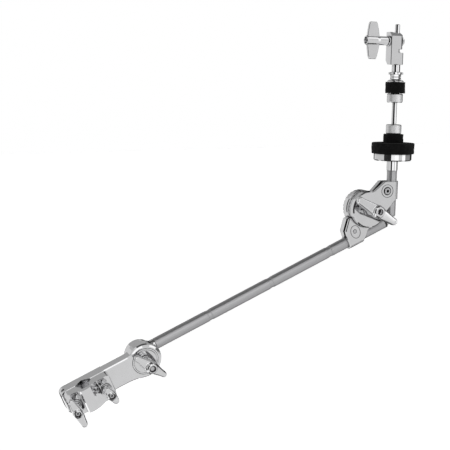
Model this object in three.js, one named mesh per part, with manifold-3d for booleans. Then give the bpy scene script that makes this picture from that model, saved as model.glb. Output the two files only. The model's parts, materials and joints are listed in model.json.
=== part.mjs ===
// A clamp-on boom arm that carries a closed pair of hi-hat cymbals: a jaw clamp, a tilting boom arm,
// a sliding tilter, and a stem with the lower cymbal's seat, a pull rod and a clutch.
// Millimetres, +Z up. The origin is the middle of the gap that the clamp closes on a stand's tube.
import * as THREE from "three";
import { mergeVertices } from "three/addons/utils/BufferGeometryUtils.js";
import Module from "manifold-3d";

const wasm = await Module();
wasm.setup();

// ---- driving dimensions ----
const FIT = 0.3; // gap left between pieces that touch
const RUN = 0.25; // radial gap round a piece that turns
const ROUND = 32; // sides of a large round piece
const SMALL = 18; // sides of a small round piece

const BOOM_RISE = THREE.MathUtils.degToRad(23.1); // boom arm above the horizontal
const CLAMP_ROLL = THREE.MathUtils.degToRad(8.2); // clamp turned about the boom arm
const STEM_LEAN = THREE.MathUtils.degToRad(1.1); // stem off the vertical

const BOOM_R = 7;
const BOOM_BORE_R = 5.6;
const BOOM_START = 22; // from the hub's axis, along the boom arm
const BOOM_END = 358.2;
const GROOVE_AT = [98, 186, 274];
const GROOVE_LENGTH = 5.5;
const GROOVE_DEPTH = 0.5;

const HUB_R = 17.4; // disc at the end of the boom arm
const CLAMP_DISC_R = 21.3; // disc at the end of the clamp
const HUB_LAYER = 14; // thickness of the clamp's disc
const KNUCKLE_BACK = 9; // back of the boom arm's disc, behind the boom arm's plane
const HUB_DROP = 3.4; // hub's axis below the boom arm's axis
const PIVOT_R = 3.2; // both pivot bolts

const BAR_HALF = 15.2; // half the height of the clamp's bar
const BAR_END = -106; // far end of the clamp, from the hub's axis
const GAP_MID = -77.7; // middle of the tube gap along the clamp
const GAP_FRONT = 26; // middle of the tube gap in front of the boom arm's plane
const PARTING = 22.2; // plane where the two jaws meet, in front of the boom arm's plane

const TILTER_AT = 339.7; // tilter's axis along the boom arm
const TILTER_RISE = 30.8; // tilter's axis above the boom arm's axis
const TILTER_R = 23.4;
const BASE_R = 22.9; // the tilter's lower disc
const TILTER_FRONT = -18.5; // front face of the tilter, along Y
const TILTER_BACK = 13;
const TOOTH_COUNT = 28;

const STEM_X = 35.3; // stem's axis beside the tilter's axis
const STEM_Y = -8.75; // stem's axis in front of the boom arm's plane
const STEM_R = 6.35;
const STEM_FOOT = -10.4; // just clears the boom arm as the tilter slides along it
const STEM_TOP = 47.9;
const SEAT_TUBE_R = 6.95;
const CUP_BOTTOM = 61.3;
const CUP_TOP = 69.8;
const CUP_R = 24;
const ROD_R = 3;
const ROD_FOOT = 52;
const ROD_TOP = 232.3;
const CLUTCH_TUBE_R = 5.2;

// ---- materials ----
function metal(color, roughness) {
  return new THREE.MeshStandardMaterial({ color, roughness, metalness: 1 });
}

function chrome() {
  return metal(0xc8c8ca, 0.12);
}

function satin() {
  return metal(0x97989b, 0.38);
}

function steel() {
  return metal(0xa8a9ac, 0.25);
}

function felt() {
  return new THREE.MeshStandardMaterial({ color: 0x1c1c1d, roughness: 1, metalness: 0 });
}

function rubber() {
  return new THREE.MeshStandardMaterial({ color: 0x111112, roughness: 0.7, metalness: 0 });
}

// ---- solids ----
function toSolid(geometry) {
  const bare = new THREE.BufferGeometry();
  bare.setAttribute("position", geometry.getAttribute("position"));
  bare.setIndex(geometry.index);
  const merged = mergeVertices(bare, 1e-4);
  const triVerts = new Uint32Array(merged.index.array);
  const vertProperties = merged.attributes.position.array;
  return new wasm.Manifold(new wasm.Mesh({ numProp: 3, vertProperties, triVerts }));
}

function toGeometry(solid) {
  const mesh = solid.getMesh();
  const geometry = new THREE.BufferGeometry();
  geometry.setAttribute("position", new THREE.BufferAttribute(mesh.vertProperties, 3));
  geometry.setIndex(new THREE.BufferAttribute(mesh.triVerts, 1));
  return geometry;
}

function join(first, ...others) {
  return toGeometry(others.reduce((whole, next) => whole.add(toSolid(next)), toSolid(first)));
}

function cut(first, ...tools) {
  return toGeometry(tools.reduce((whole, tool) => whole.subtract(toSolid(tool)), toSolid(first)));
}

function overlap(first, second) {
  return toGeometry(toSolid(first).intersect(toSolid(second)));
}

// A solid of revolution about Z. The profile is a list of [radius, height], from the bottom up
// round the outside; a pierced piece comes back down its bore and closes on itself.
function turned(profile, sides = SMALL) {
  const points = profile.map(([r, z]) => new THREE.Vector2(r, z));
  return new THREE.LatheGeometry(points, sides).rotateX(Math.PI / 2);
}

function rod(radius, from, to, sides = SMALL) {
  return turned([[0, from], [radius, from], [radius, to], [0, to]], sides);
}

// A rod with chamfered rims of size c at both ends.
function softRod(radius, from, to, c, sides = SMALL) {
  const profile = [[0, from], [radius - c, from], [radius, from + c], [radius, to - c], [radius - c, to], [0, to]];
  return turned(profile, sides);
}

function tube(outer, inner, from, to, sides = SMALL) {
  return turned([[inner, from], [outer, from], [outer, to], [inner, to], [inner, from]], sides);
}

function box(x0, x1, y0, y1, z0, z1) {
  const geometry = new THREE.BoxGeometry(x1 - x0, y1 - y0, z1 - z0);
  return geometry.translate((x0 + x1) / 2, (y0 + y1) / 2, (z0 + z1) / 2);
}

function shapeOf(outline) {
  if (outline instanceof THREE.Shape) return outline;
  return new THREE.Shape(outline.map(([x, z]) => new THREE.Vector2(x, z)));
}

// An outline of [x, z] points, or a THREE.Shape in x and z, filled from Y = front to Y = back.
function slab(outline, front, back) {
  const shape = shapeOf(outline);
  const geometry = new THREE.ExtrudeGeometry(shape, {
    depth: back - front,
    bevelEnabled: false,
    curveSegments: 5,
  });
  return geometry.rotateX(Math.PI / 2).translate(0, back, 0);
}

// The same with the rims chamfered by c.
function softSlab(outline, front, back, c) {
  const shape = shapeOf(outline);
  const geometry = new THREE.ExtrudeGeometry(shape, {
    depth: back - front - 2 * c,
    bevelEnabled: true,
    bevelThickness: c,
    bevelSize: c,
    bevelOffset: -c,
    bevelSegments: 1,
    curveSegments: 5,
  });
  return geometry.rotateX(Math.PI / 2).translate(0, back - c, 0);
}

// Turns a piece made along Z so that its +Z faces the front, -Y.
function facingFront(geometry) {
  return geometry.rotateX(Math.PI / 2);
}

// A round piece along Y at x, z, between Y = front and Y = back.
function pinY(radius, front, back, x = 0, z = 0, sides = SMALL) {
  return facingFront(rod(radius, -back, -front, sides)).translate(x, 0, z);
}

function softPinY(radius, front, back, c, x = 0, z = 0, sides = SMALL) {
  return facingFront(softRod(radius, -back, -front, c, sides)).translate(x, 0, z);
}

function pinX(radius, from, to, sides = SMALL) {
  return rod(radius, from, to, sides).rotateY(Math.PI / 2);
}

function pinZ(radius, from, to, x = 0, y = 0, sides = SMALL) {
  return rod(radius, from, to, sides).translate(x, y, 0);
}

function mesh(name, geometry, material) {
  const piece = new THREE.Mesh(geometry, material);
  piece.name = name;
  return piece;
}

// A round part with straight knurls: a star-shaped outline run along Z, with chamfered rims.
function knurled(radius, depth, count, from, to, c) {
  const shape = new THREE.Shape();
  for (let i = 0; i < 2 * count; i++) {
    const angle = (i * Math.PI) / count;
    const r = i % 2 ? radius - depth : radius;
    if (i === 0) shape.moveTo(r, 0);
    else shape.lineTo(r * Math.cos(angle), r * Math.sin(angle));
  }
  const star = new THREE.ExtrudeGeometry(shape, {
    depth: to - from - 2 * c,
    bevelEnabled: true,
    bevelThickness: c,
    bevelSize: c,
    bevelOffset: -c,
    bevelSegments: 1,
  });
  return star.translate(0, 0, from + c);
}

// A ring of radial teeth about Y. The teeth stand from Y = root to Y = crest.
function toothRing(outer, inner, back, root, crest, count) {
  const low = Math.min(back, root);
  const high = Math.max(back, root);
  const ring = cut(pinY(outer, low, high, 0, 0, ROUND), pinY(inner, low - 1, high + 1));
  const pitch = (2 * Math.PI * outer) / count;
  const teeth = [];
  for (let i = 0; i < count; i++) {
    const y0 = Math.min(root, crest) - (crest < root ? 0 : 0.2);
    const y1 = Math.max(root, crest) + (crest < root ? 0.2 : 0);
    const tooth = box(inner + 0.8, outer - 0.35, y0, y1, -pitch / 4, pitch / 4);
    teeth.push(tooth.rotateY((2 * Math.PI * i) / count));
  }
  return join(ring, ...teeth);
}

// A wing: seen along the axis it is a bow tie, seen from the side its blades sweep forward.
// Its axis is Z and its seat is at Z = 0.
function wing(size) {
  const { half, hubR, tip, length, blade, tipBlade, seatR } = size;
  const face = new THREE.Shape();
  face.moveTo(-half + 1.5, -tip);
  face.quadraticCurveTo(-half, -tip, -half, 0);
  face.quadraticCurveTo(-half, tip, -half + 1.5, tip);
  face.quadraticCurveTo(-hubR, tip * 1.1, -hubR * 0.5, hubR * 0.86);
  face.quadraticCurveTo(0, hubR * 1.05, hubR * 0.5, hubR * 0.86);
  face.quadraticCurveTo(hubR, tip * 1.1, half - 1.5, tip);
  face.quadraticCurveTo(half, tip, half, 0);
  face.quadraticCurveTo(half, -tip, half - 1.5, -tip);
  face.quadraticCurveTo(hubR, -tip * 1.1, hubR * 0.5, -hubR * 0.86);
  face.quadraticCurveTo(0, -hubR * 1.05, -hubR * 0.5, -hubR * 0.86);
  face.quadraticCurveTo(-hubR, -tip * 1.1, -half + 1.5, -tip);
  const front = new THREE.ExtrudeGeometry(face, { depth: length + 4, bevelEnabled: false, curveSegments: 3 });
  const side = [
    [-half - 1, length + size.lift],
    [-half - 1, length + size.lift - tipBlade],
    [-hubR * 0.8, length - blade],
    [hubR * 0.8, length - blade],
    [half + 1, length + size.lift - tipBlade],
    [half + 1, length + size.lift],
    [hubR * 0.8, length],
    [-hubR * 0.8, length],
  ];
  const blades = overlap(front, slab(side, -hubR - 2, hubR + 2));
  const neck = turned([
    [0, 0],
    [seatR, 0],
    [seatR, 2],
    [hubR * 0.72, 3.5],
    [hubR * 0.8, length - blade],
    [hubR * 0.97, length - 1],
    [hubR * 0.85, length + 0.6],
    [0, length + 0.6],
  ]);
  return join(blades, neck);
}

// A wing nut bored right through for its bolt, with a wider mouth at the front.
function wingNut(size) {
  const bore = pinZ(size.bore, -1, size.length + 5);
  const mouth = pinZ(size.mouth, size.length - 3.4, size.length + 5);
  return cut(wing(size), bore, mouth);
}

const BIG_WING = {
  half: 32, hubR: 8.4, tip: 3.5, length: 24.5, blade: 11, tipBlade: 6, lift: -5.5, seatR: 7, bore: 3.45, mouth: 4,
};
const HUB_WING = {
  half: 24, hubR: 7.6, tip: 2.6, length: 22.5, blade: 11, tipBlade: 5, lift: -6.5, seatR: 6.5, bore: 3.45, mouth: 4.2,
};
const JAW_WING = {
  half: 19.6, hubR: 6, tip: 2.6, length: 20, blade: 9, tipBlade: 5, lift: 0, seatR: 5.6, bore: 3.25, mouth: 3.9,
};
const SHORT_WING = { ...JAW_WING, half: 12.2, tip: 2.9 };

// ---- the clamp: X along the clamp towards the boom arm, -Y to the front, +Z up ----
const BAR_FRONT = -HUB_LAYER / 2 - HUB_LAYER; // front face of the clamp's disc and bar
const BAR_BACK = -HUB_LAYER / 2;
const SADDLE_TRAVEL = 9;
const LEFT_STUD = { x: -95.4, tilt: THREE.MathUtils.degToRad(13), seat: 34.4 };
const RIGHT_STUD = { x: -57, tilt: 0, seat: 34.8 };

// Both jaws take their share of this block, which is cut through for the tube.
function gapProfile() {
  return [
    [GAP_MID, -15.8],
    [GAP_MID + 11, -PARTING],
    [GAP_MID + 6.2, -29.5],
    [GAP_MID + 4.4, -35.6],
    [GAP_MID - 4.8, -35.6],
    [GAP_MID - 6.6, -29],
    [GAP_MID - 10.4, -PARTING],
  ];
}

// An outline of [x, y] points run along Z.
function column(outline, from, to) {
  const shape = new THREE.Shape(outline.map(([x, y]) => new THREE.Vector2(x, y)));
  return new THREE.ExtrudeGeometry(shape, { depth: to - from, bevelEnabled: false }).translate(0, 0, from);
}

function studHole(stud, radius) {
  return facingFront(rod(radius, -14, 40)).rotateZ(-stud.tilt).translate(stud.x, -stud.seat, 0);
}

function clampFrame() {
  const bar = new THREE.Shape();
  bar.moveTo(0, -20.4);
  bar.quadraticCurveTo(-9, -BAR_HALF - 4.4, -16, -BAR_HALF - 1.6);
  bar.quadraticCurveTo(-24, -BAR_HALF, -34, -BAR_HALF);
  bar.lineTo(BAR_END + 7, -BAR_HALF);
  bar.quadraticCurveTo(BAR_END, -BAR_HALF, BAR_END, -BAR_HALF + 8);
  bar.lineTo(BAR_END, BAR_HALF - 7);
  bar.quadraticCurveTo(BAR_END, BAR_HALF, BAR_END + 8, BAR_HALF);
  bar.lineTo(-22, BAR_HALF);
  bar.quadraticCurveTo(-13, BAR_HALF, 0, 19.6);
  const body = softSlab(bar, BAR_FRONT, BAR_BACK, 1.2);
  const head = facingFront(turned([
    [0, -BAR_BACK],
    [CLAMP_DISC_R - 0.6, -BAR_BACK],
    [CLAMP_DISC_R, -BAR_BACK + 0.6],
    [CLAMP_DISC_R, -BAR_FRONT - 3.6],
    [CLAMP_DISC_R - 1, -BAR_FRONT - 1.2],
    [CLAMP_DISC_R - 3.2, -BAR_FRONT],
    [0, -BAR_FRONT],
  ], 40));
  const jaw = softSlab(jawSide(BAR_END, -50), -PARTING, BAR_BACK + 0.8, 1);
  const groove = column(gapProfile().slice(0, 2).concat([[GAP_MID + 11, -40], [GAP_MID - 10.4, -40]])
    .concat([[GAP_MID - 10.4, -PARTING]]), -30, 30);
  const inset = pinY(16.6, BAR_FRONT - 1, BAR_FRONT + 1.4, 0, 0, ROUND);
  const bore = pinY(PIVOT_R + RUN, -40, 20);
  const pocket = pinY(9.4, BAR_BACK - 3.4, BAR_BACK + 2, 0, 0, ROUND);
  const screwHole = pinZ(2.3, BAR_HALF - 7, BAR_HALF + 2, -101.6, -15.6);
  const relief = box(-49.4, -45, -PARTING - 1, BAR_FRONT, -30, 30);
  return cut(join(body, head, jaw), groove, inset, bore, pocket, screwHole, relief,
    studHole(LEFT_STUD, 3 + FIT), studHole(RIGHT_STUD, 3 + FIT));
}

// Side view of a jaw, with rounded corners.
function jawSide(from, to) {
  const shape = new THREE.Shape();
  shape.moveTo(from + 7, -BAR_HALF);
  shape.lineTo(to, -BAR_HALF);
  shape.lineTo(to, BAR_HALF);
  shape.lineTo(from + 8, BAR_HALF);
  shape.quadraticCurveTo(from, BAR_HALF, from, BAR_HALF - 7);
  shape.lineTo(from, -BAR_HALF + 8);
  shape.quadraticCurveTo(from, -BAR_HALF, from + 7, -BAR_HALF);
  return shape;
}

function jawSaddle() {
  const top = new THREE.Shape();
  top.moveTo(-103.5, -PARTING - FIT);
  top.lineTo(GAP_MID - 10.4, -PARTING - FIT);
  top.lineTo(GAP_MID - 6.6, -29);
  top.lineTo(GAP_MID - 4.8, -35.6);
  top.lineTo(GAP_MID + 4.4, -35.6);
  top.lineTo(GAP_MID + 6.2, -29.5);
  top.lineTo(GAP_MID + 11, -PARTING - FIT);
  top.lineTo(-48, -PARTING - FIT);
  top.lineTo(-47.6, -32.5);
  top.quadraticCurveTo(-48, -34.6, -51, -34.8);
  top.lineTo(-63.5, -34.8);
  top.lineTo(-71, -39.2);
  top.quadraticCurveTo(-79, -42.4, -85.4, -40.6);
  top.lineTo(-86.9, -38.6);
  top.lineTo(-87, -36.4);
  top.lineTo(-103.2, -32.6);
  top.closePath();
  const block = new THREE.ExtrudeGeometry(top, { depth: 60, bevelEnabled: false, curveSegments: 6 });
  const outline = new THREE.Shape();
  const from = -103.6;
  const to = -47.4;
  outline.moveTo(from + 6, -BAR_HALF + 0.4);
  outline.lineTo(to - 8, -BAR_HALF + 0.4);
  outline.quadraticCurveTo(to, -BAR_HALF + 2, to, -BAR_HALF + 9);
  outline.lineTo(to, BAR_HALF - 8);
  outline.quadraticCurveTo(to - 0.5, BAR_HALF, to - 5, BAR_HALF);
  outline.lineTo(from + 6, BAR_HALF);
  outline.quadraticCurveTo(from, BAR_HALF, from, BAR_HALF - 6);
  outline.lineTo(from, -BAR_HALF + 6);
  outline.quadraticCurveTo(from, -BAR_HALF + 0.4, from + 6, -BAR_HALF + 0.4);
  const plan = block.translate(0, 0, -30);
  const jaw = overlap(plan, softSlab(outline, -44, -PARTING + 4, 0.8));
  const leftSlot = slotFor(LEFT_STUD, -1);
  const rightSlot = slotFor(RIGHT_STUD, 1);
  const pocket = column([[-61.5, -60], [-61.5, -34.9], [-72, -36.2], [-72, -60]], -2, 40);
  const wedge = overlap(pocket, slab([[-60, 2], [-60, 40], [-76, 40], [-73.5, 14.5]], -60, -20));
  return cut(jaw, leftSlot, rightSlot, wedge);
}

// A slot through the saddle for a stud, open towards the end that the stud is nearest.
function slotFor(stud, side) {
  const half = 4;
  const hole = studHole(stud, half);
  const start = side < 0 ? stud.x - 30 : stud.x;
  const end = side < 0 ? stud.x : stud.x + 30;
  const way = box(start, end, -70, 0, -half, half);
  return side < 0 ? join(hole, way) : hole;
}

// A stud anchored in the frame. Its own Z runs out through the saddle, from its seat on the saddle.
function jawStud() {
  return cut(softRod(3, -13.6, 21, 0.5), pinZ(1.4, 19.6, 22, 0, 0, 6));
}

function washer(outer, inner, thickness) {
  const c = 0.4;
  const profile = [[inner, 0], [outer, 0], [outer, thickness - c], [outer - c, thickness], [inner, thickness], [inner, 0]];
  return turned(profile, 20);
}

// The parts of one jaw fastening, in a group whose Z runs along the stud from its seat.
function fastening(stud, side, size, turn) {
  const group = new THREE.Group();
  group.position.set(stud.x, -stud.seat, 0);
  group.rotation.order = "ZXY";
  group.rotation.set(Math.PI / 2, 0, -stud.tilt);
  const nut = mesh("jaw_wing_nut_" + side, wingNut(size), chrome());
  nut.position.z = 2.4 + FIT;
  nut.rotation.z = turn;
  const ring = mesh("jaw_washer_" + side, washer(6.4, 3.25, 2), steel());
  ring.position.z = FIT + 0.1;
  group.add(mesh("jaw_stud_" + side, jawStud(), steel()), ring, nut);
  return group;
}

function hubBolt() {
  const head = softPinY(8.4, KNUCKLE_BACK - 3.2, KNUCKLE_BACK + 2, 1);
  const shank = softPinY(PIVOT_R, BAR_FRONT - 23.6, KNUCKLE_BACK - 1, 0.6);
  return join(head, shank);
}

function knuckle() {
  const layer = HUB_LAYER / 2 - FIT;
  const disc = softPinY(HUB_R, -layer, KNUCKLE_BACK, 1.6, 0, 0, ROUND);
  const neck = pinX(BOOM_R, 2, BOOM_START - FIT, ROUND).translate(0, 0, HUB_DROP);
  const neckLimit = box(-20, 60, -layer, HUB_LAYER / 2, -30, 30);
  const spigot = pinX(BOOM_BORE_R - RUN, 10, BOOM_START + 26).translate(0, 0, HUB_DROP);
  const seat = pinY(8.9, KNUCKLE_BACK - 3.6, KNUCKLE_BACK + 6);
  const bore = pinY(PIVOT_R + RUN, -20, 20);
  const teeth = pinY(15.4, -20, -layer + 3, 0, 0, ROUND);
  return cut(join(disc, overlap(neck, neckLimit), spigot), seat, bore, teeth);
}

function clampGroup() {
  const group = new THREE.Group();
  const layer = HUB_LAYER / 2;
  const insetWasher = facingFront(tube(16.2, PIVOT_R + RUN, 0, 1.7, ROUND)).translate(0, BAR_FRONT + 1.1, 0);
  const thrust = facingFront(washer(7.4, PIVOT_R + RUN, 1.4)).translate(0, BAR_FRONT - 0.9, 0);
  const wingHub = mesh("hub_wing_nut", wingNut(HUB_WING).rotateZ(THREE.MathUtils.degToRad(-58)), chrome());
  wingHub.rotation.x = Math.PI / 2;
  wingHub.position.y = BAR_FRONT - 2.3 - FIT;
  const springWire = facingFront(tube(7.2, 5, layer + 0.6, layer + 2.9)).translate(0, -0.1, 0);
  group.add(
    mesh("clamp_frame", clampFrame(), chrome()),
    mesh("hub_cover_disc", insetWasher, chrome()),
    mesh("hub_thrust_washer", thrust, steel()),
    mesh("hub_pivot_bolt", hubBolt(), steel()),
    mesh("hub_spring_washer", springWire, steel()),
    mesh("knuckle_tooth_ring", toothRing(15, 8.8, -4, -6.2, -6.9, 20), steel()),
    mesh("boom_knuckle", knuckle(), chrome()),
    mesh("jaw_saddle", jawSaddle(), chrome()),
    mesh("frame_grub_screw", cut(rodScrew(), hexSocket()), steel()),
    wingHub,
    fastening(LEFT_STUD, "left", JAW_WING, THREE.MathUtils.degToRad(96)),
    fastening(RIGHT_STUD, "right", SHORT_WING, THREE.MathUtils.degToRad(104)),
  );
  return group;
}

function rodScrew() {
  return rod(2, BAR_HALF - 6.6, BAR_HALF - 1.6).translate(-101.6, -15.6, 0);
}

function hexSocket() {
  return rod(1.1, BAR_HALF - 3.4, BAR_HALF, 6).translate(-101.6, -15.6, 0);
}

// ---- the boom arm: X along the arm, from the hub's axis ----
function boomTube() {
  const profile = [[BOOM_BORE_R, BOOM_START], [BOOM_R - 0.4, BOOM_START], [BOOM_R, BOOM_START + 0.4]];
  for (const middle of GROOVE_AT) {
    const from = middle - GROOVE_LENGTH / 2;
    const to = middle + GROOVE_LENGTH / 2;
    profile.push([BOOM_R, from], [BOOM_R - GROOVE_DEPTH, from + GROOVE_DEPTH]);
    profile.push([BOOM_R - GROOVE_DEPTH, to - GROOVE_DEPTH], [BOOM_R, to]);
  }
  profile.push([BOOM_R, BOOM_END], [BOOM_BORE_R, BOOM_END], [BOOM_BORE_R, BOOM_START]);
  return turned(profile, 24).rotateY(Math.PI / 2);
}

function boomPieces() {
  const group = new THREE.Group();
  const ring = tube(BOOM_R, 4.3, BOOM_END + FIT, BOOM_END + 3, 24).rotateY(Math.PI / 2);
  const cap = turned([
    [0, BOOM_END - 16],
    [3.6, BOOM_END - 16],
    [4, BOOM_END - 15],
    [4, BOOM_END + 3 + FIT],
    [5.2, BOOM_END + 3 + FIT],
    [5.1, BOOM_END + 6],
    [4.2, BOOM_END + 8.4],
    [2.2, BOOM_END + 9.8],
    [0, BOOM_END + 10.2],
  ]).rotateY(Math.PI / 2);
  group.add(
    mesh("boom_tube", boomTube(), satin()),
    mesh("boom_end_ring", ring, rubber()),
    mesh("boom_end_cap", cap, chrome()),
  );
  return group;
}

// ---- the tilter's lower half: X along the boom arm, origin on the tilter's axis ----
function baseOutline() {
  const corners = [
    [-13.5, -33.3],
    [-17.6, -36],
    [-39.2, -36],
    [-38.4, -26],
    [-37.6, -15],
    [-27.3, -2.3],
    [0, -2],
    [0, -22],
    [-8.7, -27.3],
  ];
  return corners;
}

function baseBracket() {
  const arm = -TILTER_RISE;
  const plates = softSlab(baseOutline(), -9.2, 8.6, 0.8);
  const sleeve = pinX(9.2, -39, -17, ROUND).translate(0, 0, arm);
  const disc = cut(softPinY(BASE_R, 0.7, TILTER_BACK, 1.4, 0, 0, ROUND), ...rimNotches());
  const clear = pinY(TILTER_R + 0.6, -40, 0.5, 0, 0, ROUND);
  const body = join(cut(join(plates, sleeve), clear), disc);
  const armBore = pinX(BOOM_R + RUN, -80, 60, ROUND).translate(0, 0, arm);
  const slit = box(-60, -14, -6.2, -1.4, arm, 20);
  const slitOnly = cut(slit, pinY(TILTER_R + 2, -40, 40, 0, 0, ROUND));
  const boltHole = pinY(2.8, -40, 40, BASE_BOLT.x, BASE_BOLT.z);
  const nutSeat = pinY(4.6, 6.4, 40, BASE_BOLT.x, BASE_BOLT.z);
  const pivot = pinY(PIVOT_R + RUN, -40, 40);
  const headSeat = pinY(8.9, TILTER_BACK - 3.4, 40);
  const groove = ovalGroove(BASE_BOLT.x + 0.6, BASE_BOLT.z - 0.9, 6.9, 8.8, -9.2, -8.3);
  return cut(body, armBore, slitOnly, boltHole, nutSeat, pivot, headSeat, groove);
}

// Notches round the back rim of the lower disc.
function rimNotches() {
  const notches = [];
  for (let i = 0; i < TOOTH_COUNT; i++) {
    const notch = box(BASE_R - 1.3, BASE_R + 2, TILTER_BACK - 2.6, TILTER_BACK + 2, -1.1, 1.1);
    notches.push(notch.rotateY((2 * Math.PI * i) / TOOTH_COUNT));
  }
  return notches;
}

const BASE_BOLT = { x: -25.8, z: -19.9 };

// An oval groove about Y, sunk from the plane y = front to y = bottom, to cut from a plate round its bolt.
function ovalGroove(x, z, halfWidth, halfHeight, front, bottom) {
  const width = 0.8;
  const oval = (wide, high) => facingFront(rod(1, -bottom, 1 - front, ROUND)).scale(wide, 1, high);
  return cut(oval(halfWidth, halfHeight), oval(halfWidth - width, halfHeight - width)).translate(x, 0, z);
}

function baseBolt() {
  const shank = softPinY(2.5, -9.6, 11, 0.4, BASE_BOLT.x, BASE_BOLT.z);
  return shank;
}

function baseNut() {
  const hex = facingFront(rod(4.2, -9.2, -6.7, 6));
  return cut(hex, pinY(2.8, 0, 20)).translate(BASE_BOLT.x, 0, BASE_BOLT.z);
}

function baseGroup() {
  const group = new THREE.Group();
  const pivotHead = softPinY(8.4, TILTER_BACK - 3.1, TILTER_BACK + 2, 1);
  const pivotShank = softPinY(PIVOT_R, TILTER_FRONT - 19.6, TILTER_BACK - 1, 0.6);
  const thrust = facingFront(washer(9, PIVOT_R + RUN, 1.6)).translate(0, TILTER_FRONT - FIT, 0);
  const spring = facingFront(tube(7.4, 5.2, 4.6, 8.9));
  const nut = mesh("tilter_wing_nut", wingNut(BIG_WING).rotateZ(THREE.MathUtils.degToRad(-54)), chrome());
  nut.rotation.x = Math.PI / 2;
  nut.position.y = TILTER_FRONT - 1.6 - 2 * FIT;
  group.add(
    mesh("base_bracket", baseBracket(), chrome()),
    mesh("base_tooth_ring", toothRing(22.6, 9, 0.3, -3.2, -4.1, TOOTH_COUNT), steel()),
    mesh("base_clamp_bolt", baseBolt(), steel()),
    mesh("base_clamp_nut", baseNut(), steel()),
    mesh("tilter_pivot_bolt", join(pivotHead, pivotShank), steel()),
    mesh("tilter_washer", thrust, steel()),
    mesh("tilter_spring", spring, steel()),
    nut,
  );
  return group;
}

// ---- the tilter's upper half: Z along the stem, origin on the tilter's axis ----
const HEAD_BOLT = { x: 24.2, z: 23 };
const HEAD_TOP = 35;
const SLEEVE_LOW = 11.9;

function headBracket() {
  const front = [
    [-6, 21],
    [5.5, 22.8],
    [20.6, HEAD_TOP],
    [STEM_X + 1.6, HEAD_TOP],
    [STEM_X + 1.6, SLEEVE_LOW],
    [25.2, -1.4],
    [20, -10],
    [0, 0],
  ].reverse();
  const rear = [
    [8.6, 22.3],
    [20.8, HEAD_TOP],
    [STEM_X, HEAD_TOP],
    [STEM_X, SLEEVE_LOW],
    [26, 2],
    [0, 0],
  ].reverse();
  const plate = softSlab(front, TILTER_FRONT, -14.6, 0.6);
  const back = softSlab(rear, -10, 1, 0.8);
  const backPlate = cut(back, pinY(TILTER_R + 0.6, -40, 40, 0, 0, ROUND));
  const filled = softSlab([[29, SLEEVE_LOW], [STEM_X, SLEEVE_LOW], [STEM_X, HEAD_TOP], [29, HEAD_TOP]], TILTER_FRONT, 1, 0.6);
  const sleeve = rod(8.1, SLEEVE_LOW, HEAD_TOP, ROUND).translate(STEM_X, STEM_Y, 0);
  const disc = softPinY(TILTER_R, TILTER_FRONT, -9.5, 1.4, 0, 0, ROUND);
  const body = join(plate, backPlate, filled, sleeve, disc);
  const stemBore = rod(STEM_R + RUN, -30, 60, ROUND).translate(STEM_X, STEM_Y, 0);
  const slit = box(-10, STEM_X, -14.5, -6.8, 0, 60);
  const slitOnly = cut(slit, pinY(TILTER_R + 0.2, -40, 40, 0, 0, ROUND));
  const boltHole = pinY(2.8, -40, 40, HEAD_BOLT.x, HEAD_BOLT.z);
  const groove = ovalGroove(HEAD_BOLT.x, HEAD_BOLT.z, 8.5, 8.5, TILTER_FRONT, TILTER_FRONT + 0.9);
  const headSeat = pinY(5.4, -40, TILTER_FRONT + 2.2, HEAD_BOLT.x, HEAD_BOLT.z, 32);
  const nutSeat = pinY(5, -1.6, 40, HEAD_BOLT.x, HEAD_BOLT.z);
  const pivot = pinY(PIVOT_R + RUN, -40, 40);
  return cut(body, stemBore, slitOnly, boltHole, headSeat, nutSeat, pivot, groove);
}

function headBolt() {
  const { x, z } = HEAD_BOLT;
  const head = softPinY(4.4, TILTER_FRONT - 1, TILTER_FRONT + 1.9, 0.5, x, z);
  const shank = softPinY(2.5, TILTER_FRONT + 1, 2.6, 0.4, x, z);
  return cut(join(head, shank), facingFront(rod(2.1, 17, 25, 6)).translate(x, 0, z));
}

function headNut() {
  const hex = facingFront(rod(4.5, -1, 1.3, 6));
  return cut(hex, pinY(2.8, -20, 20)).translate(HEAD_BOLT.x, 0, HEAD_BOLT.z);
}

function headGroup() {
  const group = new THREE.Group();
  group.add(
    mesh("head_bracket", headBracket(), chrome()),
    mesh("head_tooth_ring", toothRing(22.6, 9, -9.2, -5.5, -4.5, TOOTH_COUNT), steel()),
    mesh("head_clamp_bolt", headBolt(), steel()),
    mesh("head_clamp_nut", headNut(), steel()),
  );
  return group;
}

// ---- the stem and everything on it: origin on the stem's axis, level with the tilter's axis ----
function stemTube() {
  const c = 1.2;
  const profile = [
    [5, STEM_FOOT],
    [STEM_R - c, STEM_FOOT],
    [STEM_R, STEM_FOOT + c],
    [STEM_R, STEM_TOP],
    [5, STEM_TOP],
    [5, STEM_FOOT],
  ];
  return turned(profile, 24);
}

function seatTube() {
  return turned([
    [0, STEM_TOP - 14],
    [4.7, STEM_TOP - 14],
    [4.7, STEM_TOP + FIT],
    [SEAT_TUBE_R - 0.4, STEM_TOP + FIT],
    [SEAT_TUBE_R, STEM_TOP + FIT + 0.4],
    [SEAT_TUBE_R, CUP_BOTTOM - FIT],
    [ROD_R + FIT, CUP_BOTTOM - FIT],
    [ROD_R + FIT, ROD_FOOT - FIT],
    [0, ROD_FOOT - FIT],
  ], 24);
}

function seatCup() {
  return turned([
    [ROD_R + FIT, CUP_BOTTOM],
    [CUP_R - 1.4, CUP_BOTTOM],
    [CUP_R, CUP_BOTTOM + 1.4],
    [CUP_R, CUP_TOP],
    [CUP_R - 1.2, CUP_TOP],
    [CUP_R - 1.2, CUP_TOP - 1],
    [ROD_R + FIT, CUP_TOP - 1],
    [ROD_R + FIT, CUP_BOTTOM],
  ], ROUND);
}

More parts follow.
